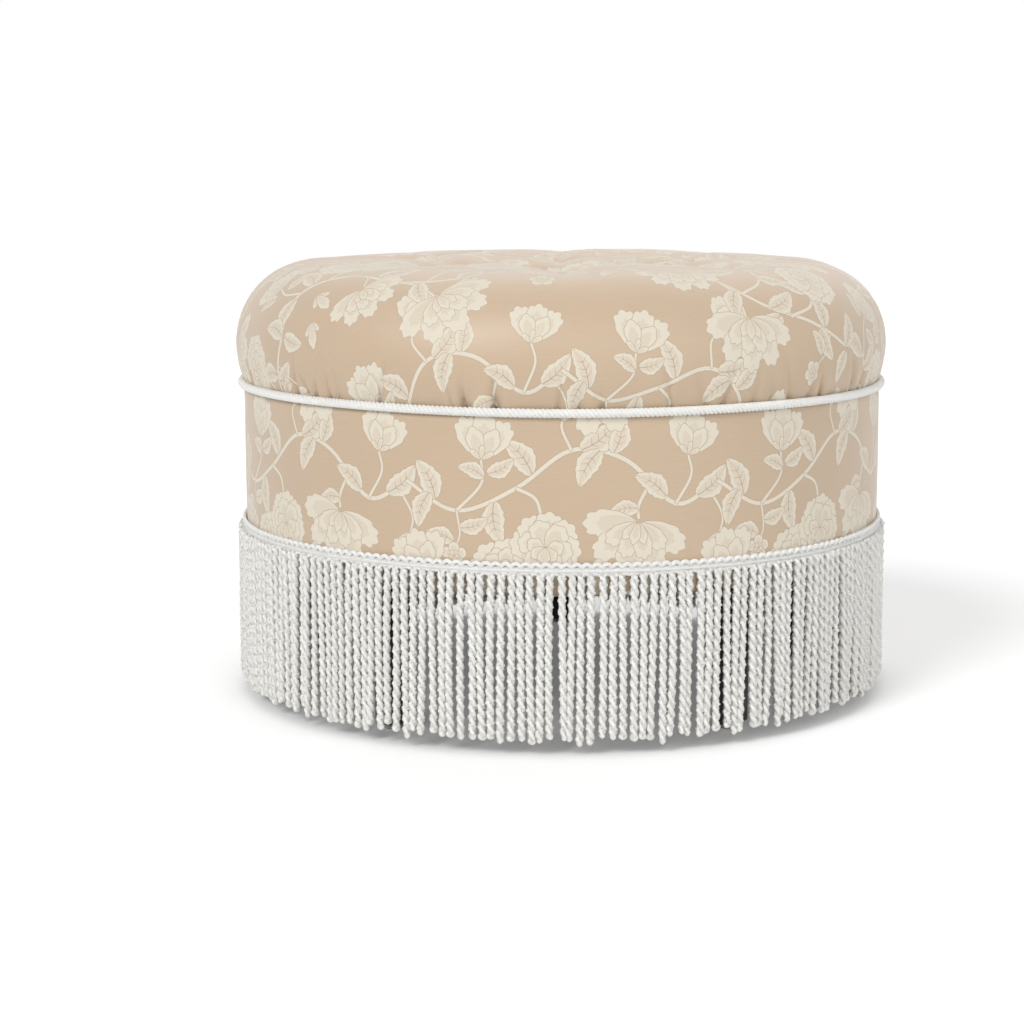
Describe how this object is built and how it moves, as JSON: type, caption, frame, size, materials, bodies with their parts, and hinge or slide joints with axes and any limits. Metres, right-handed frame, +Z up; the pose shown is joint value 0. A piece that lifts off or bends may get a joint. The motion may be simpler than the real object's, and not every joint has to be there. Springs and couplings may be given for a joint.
{
  "type": "tuffet",
  "caption": "Round upholstered footstool with a button-tufted crown cushion, a cord trim, a skirt of hanging twisted fringe and short black legs.",
  "frame": {"origin": "on the floor, under the middle of the drum, level with the soles of the five glides", "axes": "+Z up through the crown, -Y towards the pictured front, one leg at the back on +Y"},
  "size_m": [0.6096, 0.6096, 0.4064],
  "materials": {
    "black_wood": "satin black paint",
    "glide_plastic": "smooth",
    "zinc_steel": "zinc plated",
    "plywood": "raw plywood",
    "softwood": "sawn softwood",
    "paperboard": "raw board",
    "wadding": "loose fibre",
    "foam": "open cell foam",
    "side_fabric": "beige satin jacquard with cream flowers",
    "top_fabric": "beige satin jacquard with cream flowers",
    "dust_cloth": "black non-woven cloth",
    "twine": "waxed twine",
    "white_cotton": "twisted matt cotton"
  },
  "bodies": {
    "root": {"leg_1": "black_wood", "leg_2": "black_wood", "leg_3": "black_wood", "leg_4": "black_wood", "leg_5": "black_wood", "leg_glides": "glide_plastic", "hanger_bolts": "zinc_steel", "tee_nuts": "zinc_steel", "base_board": "plywood", "seat_board": "plywood", "frame_post_1": "softwood", "frame_post_2": "softwood", "frame_post_3": "softwood", "frame_post_4": "softwood", "frame_post_5": "softwood", "frame_screws": "zinc_steel", "drum_wall": "paperboard", "side_padding": "wadding", "side_cover": "side_fabric", "dust_cover": "dust_cloth", "cushion_foam": "foam", "cushion_batting": "wadding", "top_cover": "top_fabric", "tuft_buttons": "top_fabric", "tuft_twines": "twine", "tuft_washers": "paperboard", "cord_trim": "white_cotton", "fringe_header": "white_cotton", "fringe_strands": "white_cotton"}
  },
  "joints": []
}
